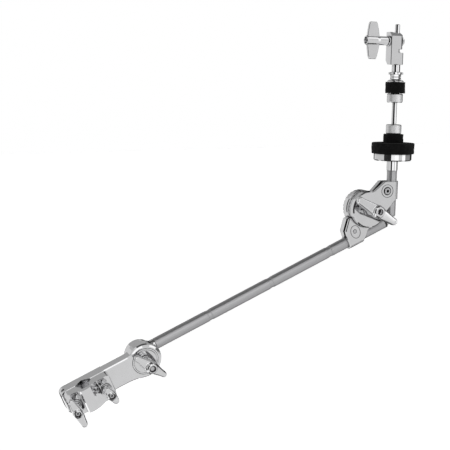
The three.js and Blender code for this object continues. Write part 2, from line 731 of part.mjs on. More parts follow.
function feltRing(outer, inner, from, to, c) {
  return turned([
    [inner, from],
    [outer - c, from],
    [outer, from + c],
    [outer, to - c],
    [outer - c, to],
    [inner, to],
    [inner, from],
  ], ROUND);
}

// The large seat felt. The small felt above it has pressed a shallow round dent into its top.
function seatFelt(outer, inner, from, to) {
  const c = 1.6;
  const dent = 0.3;
  const dentRadius = 13.6;
  return turned([
    [inner, from],
    [outer - c, from],
    [outer, from + c],
    [outer, to - c],
    [outer - c, to],
    [dentRadius, to],
    [dentRadius, to - dent],
    [inner, to - dent],
    [inner, from],
  ], ROUND);
}

function domedWasher() {
  return turned([
    [CLUTCH_TUBE_R + FIT, 160.8],
    [10.3, 160.8],
    [10.3, 161.4],
    [9, 162.7],
    [7.1, 163.3],
    [CLUTCH_TUBE_R + FIT, 163.3],
    [CLUTCH_TUBE_R + FIT, 160.8],
  ], 24);
}

// Two short ears on a collar, to turn the nut by hand.
function lugNut() {
  const barrel = softRod(6.9, 166.9, 170, 0.4, 8);
  const flange = softRod(7.3, 169.6, 172.9, 0.5, 20);
  const ears = softSlab([[-9.8, 169.8], [9.8, 169.8], [9.8, 172.6], [-9.8, 172.6]], -2.2, 2.2, 0.7);
  return cut(join(barrel, flange, ears), pinZ(CLUTCH_TUBE_R + RUN, 150, 200));
}

function jamNut() {
  return cut(softRod(6.9, 163.7, 166.5, 0.4, 8), pinZ(CLUTCH_TUBE_R + RUN, 150, 200));
}

function bored(geometry, radius) {
  return cut(geometry, pinZ(radius, 0, 260));
}

function clutchSleeve() {
  return tube(CLUTCH_TUBE_R, ROD_R + RUN, 136.2, 181.9, 28);
}

const CLUTCH_FOOT = 182.2;
const CLUTCH_AXIS = 211.4; // height of the wing bolt

function clutchBody() {
  const side = [
    [-11.7, CLUTCH_FOOT],
    [6.7, CLUTCH_FOOT],
    [6.7, 196.6],
    [4.6, 198.6],
    [4.6, 218.6],
    [2.4, 221.8],
    [-11.7, 222.6],
  ];
  const block = softSlab(side, -7, 7, 0.6);
  const chamfer = new THREE.ExtrudeGeometry(
    new THREE.Shape([[1.9, -0.1], [12, -0.1], [12, 11.8]].map(([y, z]) => new THREE.Vector2(y, z))),
    { depth: 40, bevelEnabled: false },
  );
  const trimmed = cut(block, chamfer.rotateX(Math.PI / 2).rotateZ(Math.PI / 2)
    .translate(-20, 0, CLUTCH_FOOT));
  const corner = column([[0.6, -8], [8, -8], [8, -3.4]], 197.2, 230);
  const notch = box(-1.4, 8, -8, 0, 196.9, 201.2);
  const rodBore = pinZ(ROD_R + RUN, 170, 240);
  const sleeveBore = pinZ(CLUTCH_TUBE_R + FIT, 170, 190);
  const mouth = pinZ(3.9, 220.8, 240);
  const brow = new THREE.ExtrudeGeometry(
    new THREE.Shape([[-8, 216.7], [-8, 230], [5.3, 230]].map(([y, z]) => new THREE.Vector2(y, z))),
    { depth: 40, bevelEnabled: false },
  );
  const slope = brow.rotateX(Math.PI / 2).rotateZ(Math.PI / 2).translate(-20, 0, 0);
  const lowerCorner = column([[3.7, -8], [8, -8], [8, -3.7]], 175, 196.8);
  const boltHole = pinX(3.3, -30, 0).translate(0, 0, CLUTCH_AXIS);
  const capHole = pinX(2.9, 0, 30).translate(0, 0, CLUTCH_AXIS);
  return cut(trimmed, slope, corner, lowerCorner, notch, rodBore, sleeveBore, mouth, boltHole, capHole);
}

// A flat wing on a round shaft, which presses on the rod. Its own Z runs away from the rod.
function clutchWingBolt() {
  const blade = new THREE.Shape();
  blade.moveTo(30.8, -23);
  blade.quadraticCurveTo(29.4, -22.6, 28.4, -18);
  blade.quadraticCurveTo(25.6, -8, 25.6, 0);
  blade.quadraticCurveTo(25.6, 8, 28.4, 18);
  blade.quadraticCurveTo(29.4, 22.6, 30.8, 23);
  blade.lineTo(38.6, 23);
  blade.quadraticCurveTo(40.4, 22.4, 41.4, 16);
  blade.quadraticCurveTo(42.6, 8, 43.2, 0);
  blade.quadraticCurveTo(42.6, -8, 41.4, -16);
  blade.quadraticCurveTo(40.4, -22.4, 38.6, -23);
  const plate = softSlab(blade, -2.1, 2.1, 0.8).rotateY(-Math.PI / 2);
  const hub = turned([
    [0, ROD_R + 1],
    [3, ROD_R + 1],
    [3, 14],
    [5.5, 14.6],
    [5.5, 26],
    [5.9, 30],
    [5.9, 43.4],
    [5.4, 44.4],
    [0, 44.4],
  ], 20);
  return cut(join(hub, plate), rod(4.3, 40.9, 46, SMALL));
}

function stackPieces(group) {
  group.add(
    mesh("stem_tube", stemTube(), satin()),
    mesh("seat_tube", seatTube(), chrome()),
    mesh("pull_rod", softRod(ROD_R, ROD_FOOT, ROD_TOP, 0.8), chrome()),
    mesh("seat_cup", seatCup(), chrome()),
    mesh("seat_sleeve", tube(5, ROD_R + FIT, CUP_TOP - 0.7, 105.6, 28), steel()),
    mesh("seat_felt_large", seatFelt(27, 5.6, CUP_TOP + 0.4, 83.8), felt()),
    mesh("seat_felt_small", feltRing(12.6, 5.6, 83.9, 94.8, 1), felt()),
    mesh("seat_nut", bored(knurled(9.7, 0.5, 22, 95.2, 107, 0.8), 5.3), chrome()),
    mesh("clutch_bottom_nut", bored(knurled(9.9, 0.5, 22, 134.7, 146, 0.8), CLUTCH_TUBE_R + FIT), chrome()),
    mesh("clutch_felt_lower", feltRing(12.5, CLUTCH_TUBE_R + 0.5, 146.4, 153.2, 0.6), felt()),
    mesh("clutch_felt_upper", feltRing(12.5, CLUTCH_TUBE_R + 0.5, 153.6, 160.4, 0.6), felt()),
    mesh("clutch_washer", domedWasher(), chrome()),
    mesh("clutch_jam_nut", jamNut(), chrome()),
    mesh("clutch_lug_nut", lugNut(), chrome()),
    mesh("clutch_sleeve", clutchSleeve(), chrome()),
    mesh("clutch_body", clutchBody(), chrome()),
  );
}

function clutchFittings(group) {
  const bolt = mesh("clutch_wing_bolt", clutchWingBolt(), chrome());
  bolt.rotation.y = -Math.PI / 2;
  bolt.position.z = CLUTCH_AXIS;
  const collar = mesh("clutch_collar", washer(6.3, 3.3, 1.9), steel());
  collar.rotation.y = -Math.PI / 2;
  collar.position.set(-12, 0, CLUTCH_AXIS);
  const cap = mesh("clutch_end_cap", join(softRod(5.6, 4.9, 8.3, 1), rod(2.6, 3.5, 6)), chrome());
  cap.rotation.y = Math.PI / 2;
  cap.position.z = CLUTCH_AXIS;
  group.add(bolt, collar, cap);
}

function stemGroup() {
  const group = new THREE.Group();
  stackPieces(group);
  clutchFittings(group);
  return group;
}

// ---- the whole ----
function wholeStand() {
  const whole = new THREE.Group();
  const arm = new THREE.Group();
  arm.rotation.y = -BOOM_RISE;
  const hub = clampGroup();
  hub.rotation.x = CLAMP_ROLL;
  hub.position.set(0, 0, -HUB_DROP).applyEuler(hub.rotation);
  const base = baseGroup();
  base.position.set(TILTER_AT, 0, TILTER_RISE);
  const head = headGroup();
  head.rotation.y = BOOM_RISE + STEM_LEAN;
  head.position.copy(base.position);
  const stem = stemGroup();
  stem.position.set(STEM_X, STEM_Y, 0);
  head.add(stem);
  arm.add(hub, boomPieces(), base, head);
  const gap = new THREE.Vector3(GAP_MID, -GAP_FRONT, 0).applyEuler(hub.rotation).add(hub.position);
  arm.position.copy(gap.applyEuler(arm.rotation)).negate();
  whole.add(arm);
  return whole;
}

export default wholeStand();
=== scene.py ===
"""Looks for the clamp-on hi-hat boom arm: rounded chrome castings, knurled nuts, satin tubes, black felts."""

import json
import math

import bmesh
import bpy
from mathutils import Matrix, Vector, noise


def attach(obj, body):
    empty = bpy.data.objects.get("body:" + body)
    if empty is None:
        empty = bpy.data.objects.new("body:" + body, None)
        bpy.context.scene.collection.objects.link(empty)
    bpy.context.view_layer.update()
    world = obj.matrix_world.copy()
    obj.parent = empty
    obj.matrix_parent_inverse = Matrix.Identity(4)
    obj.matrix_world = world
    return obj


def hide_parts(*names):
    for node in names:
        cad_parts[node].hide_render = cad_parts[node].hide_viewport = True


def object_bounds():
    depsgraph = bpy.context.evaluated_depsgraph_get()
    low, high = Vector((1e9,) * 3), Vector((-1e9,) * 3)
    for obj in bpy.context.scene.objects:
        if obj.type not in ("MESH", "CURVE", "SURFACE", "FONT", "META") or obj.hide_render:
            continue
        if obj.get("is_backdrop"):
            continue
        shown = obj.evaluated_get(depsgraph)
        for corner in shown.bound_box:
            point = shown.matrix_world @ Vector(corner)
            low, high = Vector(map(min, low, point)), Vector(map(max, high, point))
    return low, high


MM = 0.001

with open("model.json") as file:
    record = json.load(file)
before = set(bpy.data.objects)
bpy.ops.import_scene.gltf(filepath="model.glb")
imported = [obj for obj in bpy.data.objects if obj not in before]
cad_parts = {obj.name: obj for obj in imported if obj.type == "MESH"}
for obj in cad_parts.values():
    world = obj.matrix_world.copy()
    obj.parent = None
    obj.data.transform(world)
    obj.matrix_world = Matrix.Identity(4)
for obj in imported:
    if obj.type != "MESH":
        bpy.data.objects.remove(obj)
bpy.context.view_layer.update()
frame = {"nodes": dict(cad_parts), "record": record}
nodes = frame["nodes"]
record = frame["record"]
joints = {j["name"]: j for j in record["behaviour"]["joints"]}
body_of_node = {n: b for b, ns in record["behaviour"]["bodies"].items() for n in ns}


# ---- frames along the joints' axes ----
FAR_SHARE = 0.93  # points past this share of a node's outer radius count as its tips


def axis_frame(pos, axis, towards):
    """A matrix whose Z runs along axis from pos, and whose X points as near to towards as it can."""
    z = Vector(axis).normalized()
    x = Vector(towards)
    x = (x - z * x.dot(z)).normalized()
    y = z.cross(x)
    return Matrix((
        (x.x, y.x, z.x, pos[0]),
        (x.y, y.y, z.y, pos[1]),
        (x.z, y.z, z.z, pos[2]),
        (0, 0, 0, 1),
    ))


def joint_frame(name):
    """The frame of a joint's axis, with X as near to the part's X as it can be."""
    joint = joints[name]
    return axis_frame(joint["pos_m"], joint["axis"], (1, 0, 0))


class Extent:
    """A CAD node measured in a frame: its span along Z, its radii, and the span and angle of its tips."""

    def __init__(self, node, matrix):
        back = matrix.inverted()
        points = [back @ v.co for v in nodes[node].data.vertices]
        radii = [math.hypot(p.x, p.y) for p in points]
        self.low = min(p.z for p in points)
        self.high = max(p.z for p in points)
        self.inner = min(radii)
        self.outer = max(radii)
        far = [p for p, r in zip(points, radii) if r > FAR_SHARE * self.outer]
        self.tip_low = min(p.z for p in far)
        self.tip_high = max(p.z for p in far)
        first = max(points, key=lambda p: math.hypot(p.x, p.y))
        side = [p for p in far if p.x * first.x + p.y * first.y > 0]
        self.angle = math.atan2(sum(p.y for p in side), sum(p.x for p in side))


STEM = joint_frame("stem_turn")
HUB = joint_frame("hub_wing_turn")
TILTER = joint_frame("tilter_wing_turn")
JAW = {side: joint_frame(f"jaw_wing_{side}_turn") for side in ("left", "right")}


# ---- mesh helpers ----
def shade_smooth(mesh):
    for polygon in mesh.polygons:
        polygon.use_smooth = True


def linked(name, data):
    """A new object in the scene."""
    obj = bpy.data.objects.new(name, data)
    bpy.context.scene.collection.objects.link(obj)
    return obj


def write_outwards(bm, mesh):
    """Writes a bmesh to a mesh with its faces turned outwards, and frees it."""
    bmesh.ops.recalc_face_normals(bm, faces=bm.faces)
    bm.to_mesh(mesh)
    bm.free()


def object_from(name, bm):
    """A new object made from a bmesh, which is freed."""
    mesh = bpy.data.meshes.new(name)
    write_outwards(bm, mesh)
    return linked(name, mesh)


def new_object(name, verts, faces, matrix):
    """A new object made from points in a frame and the faces between them."""
    mesh = bpy.data.meshes.new(name)
    mesh.from_pydata([matrix @ Vector(v) for v in verts], [], faces)
    mesh.validate()
    bm = bmesh.new()
    bm.from_mesh(mesh)
    write_outwards(bm, mesh)
    return linked(name, mesh)


def ring_faces(rows, count):
    """Quads between rows of count points, each row a ring, with the last row joined to the first."""
    faces = []
    for i in range(rows):
        a, b = i * count, ((i + 1) % rows) * count
        for k in range(count):
            n = (k + 1) % count
            faces.append((a + k, a + n, b + n, b + k))
    return faces


def rounded(profile, radius, steps):
    """A closed [(r, z), ...] profile with every corner rounded."""
    most = 0.45  # of an edge's length, that a rounded corner may take
    out = []
    count = len(profile)
    for i, (r, z) in enumerate(profile):
        corner = Vector((r, z))
        before = Vector(profile[i - 1]) - corner
        after = Vector(profile[(i + 1) % count]) - corner
        size = min(radius, most * before.length, most * after.length)
        start = corner + before.normalized() * size
        end = corner + after.normalized() * size
        for k in range(steps + 1):
            t = k / steps
            point = start * (1 - t) ** 2 + corner * 2 * t * (1 - t) + end * t ** 2
            out.append((point.x, point.y))
    return out


def turned(name, profile, matrix, sides, wave=None):
    """A closed profile turned about Z. wave(angle, r) returns a new radius."""
    verts = []
    for r, z in profile:
        for k in range(sides):
            angle = 2 * math.pi * k / sides
            radius = wave(angle, r) if wave else r
            verts.append((radius * math.cos(angle), radius * math.sin(angle), z))
    obj = new_object(name, verts, ring_faces(len(profile), sides), matrix)
    shade_smooth(obj.data)
    return obj


def turned_rows(profile, sides):
    """Rows of points round Z, one row for each (r, z) of a profile."""
    angles = [2 * math.pi * k / sides for k in range(sides)]
    return [[(r * math.cos(a), r * math.sin(a), z) for a in angles] for r, z in profile]


def capped_shell(bm, rows):
    """Adds a solid lofted through rows of points, closed by a face at each end, to a bmesh."""
    made = [[bm.verts.new(p) for p in row] for row in rows]
    count = len(rows[0])
    for a, b in zip(made, made[1:]):
        for k in range(count):
            n = (k + 1) % count
            bm.faces.new((a[k], a[n], b[n], b[k]))
    bm.faces.new(made[0])
    bm.faces.new(list(reversed(made[-1])))


def smooth_by_angle(obj, degrees=32):
    """Smooth shading, except across edges sharper than an angle."""
    shade_smooth(obj.data)
    bm = bmesh.new()
    bm.from_mesh(obj.data)
    limit = math.radians(degrees)
    sharp = [not e.is_manifold or e.calc_face_angle(0) > limit for e in bm.edges]
    bm.free()
    for edge, value in zip(obj.data.edges, sharp):
        edge.use_edge_sharp = value


def bake(obj):
    """Applies an object's modifiers to its mesh."""
    depsgraph = bpy.context.evaluated_depsgraph_get()
    baked = bpy.data.meshes.new_from_object(obj.evaluated_get(depsgraph))
    obj.modifiers.clear()
    obj.data = baked


def melt(obj, voxel, rounds):
    """Melts the overlapping shells of a casting into one rounded skin."""
    remesh = obj.modifiers.new("melt", "REMESH")
    remesh.mode = "VOXEL"
    remesh.voxel_size = voxel
    remesh.use_smooth_shade = True
    smooth = obj.modifiers.new("round", "SMOOTH")
    smooth.factor = 0.5
    smooth.iterations = rounds
    bpy.context.view_layer.objects.active = obj
    bake(obj)
    shade_smooth(obj.data)


def dress(obj, material):
    """Gives an object one material."""
    obj.data.materials.clear()
    obj.data.materials.append(material)


def take(obj, node, material):
    """obj stands for a CAD node: it rides on the node's body and fills its material slot."""
    dress(obj, material)
    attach(obj, body_of_node[node])
    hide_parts(node)


# ---- materials ----
PAINTED_SHADE_REACH = 4 * MM  # how near a surface has to be for painted shade to fall on another
PAINTED_SHADE_STEPS = [(0.22, 0.03), (0.55, 0.62), (0.85, 1.0)]  # painted shade: openness, and the share of colour it leaves


def new_material(name):
    material = bpy.data.materials.new(name)
    material.use_nodes = True
    tree = material.node_tree
    return material, tree, tree.nodes["Principled BSDF"]


def node_of(tree, kind, **values):
    made = tree.nodes.new(kind)
    for key, value in values.items():
        setattr(made, key, value)
    return made


def math_node(tree, operation, a, b=None):
    """A Math node's output. Each of a and b is a number or a socket."""
    made = node_of(tree, "ShaderNodeMath", operation=operation)
    for socket, value in zip(made.inputs, (a, b)):
        if isinstance(value, (int, float)):
            socket.default_value = value
        elif value is not None:
            tree.links.new(value, socket)
    return made.outputs[0]


def noise_of(tree, scale, detail):
    """Noise in the object's own metres."""
    place = node_of(tree, "ShaderNodeTexCoord")
    made = node_of(tree, "ShaderNodeTexNoise")
    made.inputs["Scale"].default_value = scale
    made.inputs["Detail"].default_value = detail
    tree.links.new(place.outputs["Object"], made.inputs["Vector"])
    return made.outputs["Fac"]


def ramp(tree, source, stops):
    """A colour ramp from (place, grey or colour) stops."""
    made = node_of(tree, "ShaderNodeValToRGB")
    elements = made.color_ramp.elements
    while len(elements) < len(stops):
        elements.new(0.5)
    for element, (place, colour) in zip(elements, stops):
        element.position = place
        element.color = (*colour, 1) if isinstance(colour, tuple) else (colour, colour, colour, 1)
    tree.links.new(source, made.inputs["Fac"])
    return made.outputs["Color"]


def bump(tree, shader, height, strength, distance):
    made = node_of(tree, "ShaderNodeBump")
    made.inputs["Strength"].default_value = strength
    made.inputs["Distance"].default_value = distance
    tree.links.new(height, made.inputs["Height"])
    tree.links.new(made.outputs["Normal"], shader.inputs["Normal"])


def painted_shade(tree, colour):
    """Paints shade into a colour: darker in corners and holes, the more closed in they are."""
    corner = node_of(tree, "ShaderNodeAmbientOcclusion", samples=8)
    corner.inputs["Distance"].default_value = PAINTED_SHADE_REACH
    shade = ramp(tree, corner.outputs["AO"], PAINTED_SHADE_STEPS)
    both = node_of(tree, "ShaderNodeMix", data_type="RGBA", blend_type="MULTIPLY")
    both.inputs["Factor"].default_value = 1
    tree.links.new(colour, both.inputs["A"])
    tree.links.new(shade, both.inputs["B"])
    return both.outputs["Result"]


def chrome(name, tint, rough, peel):
    """Polished plate: faint orange peel, a haze that comes and goes, and painted shade in corners and holes.
    """
    material, tree, shader = new_material(name)
    shader.inputs["Metallic"].default_value = 1
    haze = noise_of(tree, scale=90, detail=4)
    hazed = (tint - 0.03, tint - 0.03, tint - 0.025)
    clear = (tint, tint, tint + 0.008)
    colour = ramp(tree, haze, [(0.3, hazed), (0.7, clear)])
    # the base colour carries painted shade, darkest in corners and holes
    tree.links.new(painted_shade(tree, colour), shader.inputs["Base Color"])
    roughness = ramp(tree, haze, [(0.35, rough[0]), (0.75, rough[1])])
    tree.links.new(roughness, shader.inputs["Roughness"])
    bump(tree, shader, noise_of(tree, scale=420, detail=2), strength=peel, distance=0.02 * MM)
    return material


def satin(name, tint):
    """Plated tube with a fine matt grain."""
    material, tree, shader = new_material(name)
    shader.inputs["Metallic"].default_value = 1
    grain = noise_of(tree, scale=1400, detail=3)
    dull = (tint - 0.06, tint - 0.06, tint - 0.055)
    clear = (tint, tint, tint + 0.01)
    colour = ramp(tree, grain, [(0.3, dull), (0.7, clear)])
    tree.links.new(colour, shader.inputs["Base Color"])
    tree.links.new(ramp(tree, grain, [(0.3, 0.34), (0.7, 0.46)]), shader.inputs["Roughness"])
    bump(tree, shader, grain, strength=0.35, distance=0.03 * MM)
    return material


def felt_material():
    """Pressed black wool: matted fibres in uneven patches, with a faint sheen."""
    material, tree, shader = new_material("felt_black")
    fibres = noise_of(tree, scale=1500, detail=6)
    patches = noise_of(tree, scale=160, detail=4)
    mixed = math_node(tree, "MULTIPLY", fibres, patches)
    colour = ramp(tree, mixed, [(0.1, 0.0015), (0.3, 0.004), (0.5, 0.011)])
    tree.links.new(colour, shader.inputs["Base Color"])
    shader.inputs["Roughness"].default_value = 0.95
    shader.inputs["Sheen Weight"].default_value = 0.03
    shader.inputs["Sheen Roughness"].default_value = 0.6
    shader.inputs["Specular IOR Level"].default_value = 0.08
    bump(tree, shader, mixed, strength=0.9, distance=0.6 * MM)
    return material


def rubber_material():
    """Moulded black rubber with a fine grain."""
    material, tree, shader = new_material("rubber_black")
    grain = noise_of(tree, scale=700, detail=3)
    tree.links.new(ramp(tree, grain, [(0.3, 0.008), (0.7, 0.02)]), shader.inputs["Base Color"])
    shader.inputs["Roughness"].default_value = 0.5
    bump(tree, shader, grain, strength=0.2, distance=0.1 * MM)
    return material


CAST = chrome("chrome_cast", tint=0.66, rough=(0.06, 0.11), peel=0.14)
BRIGHT = chrome("chrome_bright", tint=0.7, rough=(0.03, 0.06), peel=0.05)
STEEL = chrome("steel_plated", tint=0.5, rough=(0.14, 0.24), peel=0.1)
SATIN = satin("steel_satin", tint=0.45)
FELT = felt_material()
RUBBER = rubber_material()


# ---- felts ----
FELT_STEP = 0.9 * MM  # between points along a felt's profile
FELT_TRIM = 0.15  # mm that the sides are drawn in, before they wander
FIBRE_SCALE, FIBRE_DEPTH = 900, 0.3  # the fine unevenness of a cut side: per metre, and in mm
WANDER_SCALE, WANDER_DEPTH = 210, 0.5  # the slow unevenness of its outline: per metre, and in mm
FELTS = {  # how far each felt swells below and above its plain CAD ring, and its rims' radius, in mm
    "seat_felt_large": ((0.1, 0), 1.0),
    "seat_felt_small": ((0.1, 0.1), 0.8),
    "clutch_felt_lower": ((0.05, 0.26), 0.3),
    "clutch_felt_upper": ((0.26, 0.1), 0.3),
}


def felt_ring(node, swell, crown):
    """A pressed felt washer: rounded rims, and sides that wander as cut felt does."""
    size = Extent(node, STEM)
    inner, outer = size.inner, size.outer
    low, high = size.low - swell[0] * MM, size.high + swell[1] * MM
    section = [(inner, low), (outer, low), (outer, high), (inner, high)]
    corners = rounded(section, crown * MM, 5)
    profile = []
    for i, (r, z) in enumerate(corners):
        nr, nz = corners[(i + 1) % len(corners)]
        parts = max(1, round(math.hypot(nr - r, nz - z) / FELT_STEP))
        profile += [(r + (nr - r) * k / parts, z + (nz - z) * k / parts) for k in range(parts)]
    sides = 180 if outer > 20 * MM else 120
    obj = turned(node + "_visual", profile, STEM, sides)
    normals = [v.normal.copy() for v in obj.data.vertices]
    for vertex, normal in zip(obj.data.vertices, normals):
        side = 1 - abs(normal.dot(STEM.col[2].to_3d()))
        fibres = noise.noise(vertex.co * FIBRE_SCALE) * FIBRE_DEPTH
        rough = fibres + noise.noise(vertex.co * WANDER_SCALE) * WANDER_DEPTH
        vertex.co -= normal * (FELT_TRIM - rough) * side * MM
    take(obj, node, FELT)


# ---- knurled nuts and the cover disc ----
KNURL_RIDGES = 54
KNURL_DEPTH = 0.16 * MM
KNURL_RIM = 0.8 * MM  # the chamfer at each end


def knurled_nut(node):
    """A straight-knurled thumb nut with plain chamfered rims."""
    size = Extent(node, STEM)
    low, high, outer, inner = size.low, size.high, size.outer, size.inner
    rim = KNURL_RIM
    plain = outer - KNURL_DEPTH
    corners = [
        (inner, low), (plain - rim, low), (plain, low + rim), (outer, low + rim * 1.5),
        (outer, high - rim * 1.5), (plain, high - rim), (plain - rim, high), (inner, high),
    ]

    def wave(angle, r):
        if r < plain + 1e-7:
            return r
        return plain + (r - plain) * abs(math.sin(angle * KNURL_RIDGES / 2)) ** 0.6

    profile = rounded(corners, 0.25 * MM, 2)
    obj = turned(node + "_visual", profile, STEM, KNURL_RIDGES * 6, wave)
    smooth_by_angle(obj, 50)
    take(obj, node, BRIGHT)


def hub_cover():
    """The disc let into the clamp's end: a rounded rim, a sunk ring and a shallow dish."""
    node = "hub_cover_disc"
    size = Extent(node, HUB)
    low, high, outer, inner = size.low, size.high, size.outer, size.inner
    dish = high - 0.75 * MM
    corners = [
        (inner, low), (outer, low), (outer, high), (outer - 1.6 * MM, high),
        (outer - 2.2 * MM, high - 0.5 * MM), (outer - 3 * MM, high - 0.35 * MM),
        (inner + 5 * MM, dish), (inner, dish),
    ]
    obj = turned(node + "_visual", rounded(corners, 0.7 * MM, 5), HUB, 128)
    smooth_by_angle(obj, 60)
    take(obj, node, CAST)


# ---- wing nuts and the clutch's bolt ----
BLADE_STEPS = 44  # gaps between sections, from one wing's tip to the other's
BLADE_POINTS = 28  # round a section
BLADE_SQUARENESS = 0.4  # 1 makes a section an ellipse, and near 0 a rectangle
BLADE_LENGTH = 0.998  # of the CAD wing's
BLADE_END = 0.03  # keeps the last section from shrinking to a line
HUB_SIDES = 40
BORE_SIDES = 48
AXIS_RADIUS = 1e-5  # metres: a hub's ends close on a ring this small
WINGS = {  # frame; half widths at hub and tip, radii of neck and mouth, in mm; flare; voxel in mm
    "tilter_wing_nut": (TILTER, 8.6, 4.9, 7, 3.7, 0.1, 0.42),
    "hub_wing_nut": (HUB, 7.8, 3.7, 6.5, 4, 0.1, 0.42),
    "jaw_wing_nut_left": (JAW["left"], 6.2, 3.7, 5.6, 3.9, 0.05, 0.36),
    "jaw_wing_nut_right": (JAW["right"], 6.2, 3.8, 5.6, 3.9, 0.05, 0.36),
}


def blade_section(s, width, middle, half, flare):
    """One section of a wing, s along it: a rounded oblong, wider at the back than at the front."""
    row = []
    for k in range(BLADE_POINTS):
        angle = 2 * math.pi * k / BLADE_POINTS
        c, q = math.cos(angle), math.sin(angle)
        across = math.copysign(abs(c) ** BLADE_SQUARENESS, c)
        up = math.copysign(abs(q) ** BLADE_SQUARENESS, q)
        row.append((s, across * width * (1 - flare * up), middle + up * half))
    return row


def blade_rows(size, hub, tip, flare, root):
    """Sections of both wings across their length, from a wide root to blunt rounded tips."""
    rows = []
    for i in range(BLADE_STEPS + 1):
        t = -1 + 2 * i / BLADE_STEPS
        s = math.sin(t * math.pi / 2) * size.outer * BLADE_LENGTH
        reach = abs(s) / size.outer
        end = max(0.0, (abs(s) - (size.outer - tip)) / tip)
        rounding = math.sqrt(max(BLADE_END, 1 - min(1, end) ** 2))
        width = (tip + (hub - tip) * max(0, 1 - reach * 1.25) ** 1.2) * rounding
        blend = min(1, reach * 1.15)
        low = root[0] + (size.tip_low - root[0]) * blend
        high = root[1] + (size.tip_high - root[1]) * blend
        middle, half = (low + high) / 2, (high - low) / 2 * (0.8 + 0.2 * rounding)
        rows.append(blade_section(s, width, middle, half, flare))
    return rows


def hub_profile(size, hub, neck, hub_low):
    """A wing nut's hub: a neck at the washer's end, then a barrel that narrows towards its mouth."""
    low, high = size.low, size.high
    length = high - low
    return [
        (AXIS_RADIUS, low), (neck, low), (neck, low + 0.1 * length), (neck * 0.86, low + 0.2 * length),
        (hub * 0.84, hub_low), (hub * 0.98, high - 0.2 * length), (hub * 0.86, high - 0.06 * length),
        (hub * 0.68, high), (AXIS_RADIUS, high),
    ]


def bore_through(obj, size, mouth):
    """Cuts the bolt's hole and its wider mouth. Made while the piece's axis is still Z."""
    bore = size.inner
    steps = [
        (bore, size.low - 2 * MM), (bore, size.high - 3.4 * MM), (mouth, size.high - 3.3 * MM),
        (mouth, size.high - 0.5 * MM), (mouth + 1.2 * MM, size.high + 2 * MM),
    ]
    bm = bmesh.new()
    capped_shell(bm, turned_rows(steps, BORE_SIDES))
    tool = object_from("bore_tool", bm)
    cutter = obj.modifiers.new("bore", "BOOLEAN")
    cutter.operation = "DIFFERENCE"
    cutter.solver = "EXACT"
    cutter.object = tool
    bake(obj)
    bpy.data.objects.remove(tool)


def wing_nut(node, matrix, hub, tip, neck, mouth, flare, voxel):
    """A cast wing nut: a turned hub and swept blades melted together, and a bored mouth."""
    hub, tip, neck = hub * MM, tip * MM, neck * MM
    size = Extent(node, matrix)
    length = size.high - size.low
    hub_low = size.high - 0.46 * length
    root = (hub_low, size.high - 0.12 * length)
    bm = bmesh.new()
    capped_shell(bm, blade_rows(size, hub, tip, flare, root))
    capped_shell(bm, turned_rows(hub_profile(size, hub, neck, hub_low), HUB_SIDES))
    obj = object_from(node + "_visual", bm)
    melt(obj, voxel * MM, 9)
    bore_through(obj, size, mouth * MM)
    obj.data.transform(matrix @ Matrix.Rotation(size.angle, 4, "Z"))
    smooth_by_angle(obj, 45)
    take(obj, node, CAST)


def clutch_bolt():
    """A cast skin over the clutch bolt's own shape, with its inside corners filled and its edges worn."""
    node = "clutch_wing_bolt"
    obj = linked(node + "_visual", nodes[node].data.copy())
    melt(obj, 0.3 * MM, 5)
    take(obj, node, CAST)


for felt, (swell, crown) in FELTS.items():
    felt_ring(felt, swell, crown)
for nut in ("seat_nut", "clutch_bottom_nut"):
    knurled_nut(nut)
hub_cover()
clutch_bolt()
for nut, sizes in WINGS.items():
    wing_nut(nut, *sizes)


# ---- CAD nodes that stay ----
EDGES = {  # how far the castings' edges are rounded, in mm
    "clamp_frame": 0.85, "jaw_saddle": 0.7, "base_bracket": 0.7, "head_bracket": 0.7,
    "boom_knuckle": 0.6, "clutch_body": 0.6, "seat_cup": 0.4,
}
FINISH = {"chrome": CAST, "satin_steel": SATIN, "steel": STEEL, "felt": FELT, "rubber": RUBBER}
BRIGHT_NODES = {
    "seat_tube", "pull_rod", "seat_cup",
    "clutch_sleeve", "clutch_washer", "clutch_jam_nut", "clutch_lug_nut",
}


def soft_edges(obj, width):
    """Rounds the sharp edges of a carried-over casting, so that they catch the light."""
    flat = obj.modifiers.new("faces", "DECIMATE")
    flat.decimate_type = "DISSOLVE"
    flat.angle_limit = math.radians(1)
    edge = obj.modifiers.new("edges", "BEVEL")
    edge.width = width
    edge.segments = 2
    edge.limit_method = "ANGLE"
    edge.angle_limit = math.radians(30)
    edge.use_clamp_overlap = False
    edge.harden_normals = True
    edge.miter_outer = "MITER_ARC"


def finish_node(node, material):
    """Gives a CAD node its finish and shading, and soft edges if it is listed for them."""
    obj = nodes[node]
    dress(obj, material)
    smooth_by_angle(obj)
    if node in EDGES:
        soft_edges(obj, EDGES[node] * MM)


for part in record["subparts"]:
    bright = part["node"] in BRIGHT_NODES
    finish_node(part["node"], BRIGHT if bright else FINISH[part["material_slot"]])


# ---- stage, light and camera ----
VIEW_AZIMUTH = math.radians(-21)
VIEW_ELEVATION = math.radians(8)
VIEW_TARGET = Vector((0.1798, 0.0253, 0.186))
VIEW_DISTANCE = 1.28
LENS_MM = 84
SENSOR_MM = 36
FLOOR_HALF = 6.0  # metres
FLOOR_GAP = 0.12  # the clamp hangs on a tube, so the floor lies below it
TENT = 0.9  # brightness of the light tent
CARD_EDGE = math.radians(1.5)  # how softly a card's sides end; its top and bottom are twice as soft
CARDS = [  # middle azimuth, half width, lowest and highest elevation, brightness; later cover earlier
    (0, 181, 60, 91, 0.1),
    (16, 43, -14, 60, 1.5),
    (25, 15, -14, 60, 0.85),
    (-115, 39, -30, 48, 0.75),
    (-115, 50, -62, -30, 1.5),
    (82, 22, -6, 60, 0.2),
    (-50, 23, -26, 40, 0.03),
    (175, 62, 24, 60, 0.5),
    (145, 40, -50, 22, 0.04),
    (-160, 15, -50, 22, 0.85),
    (0, 181, -91, -62, 0.05),
]


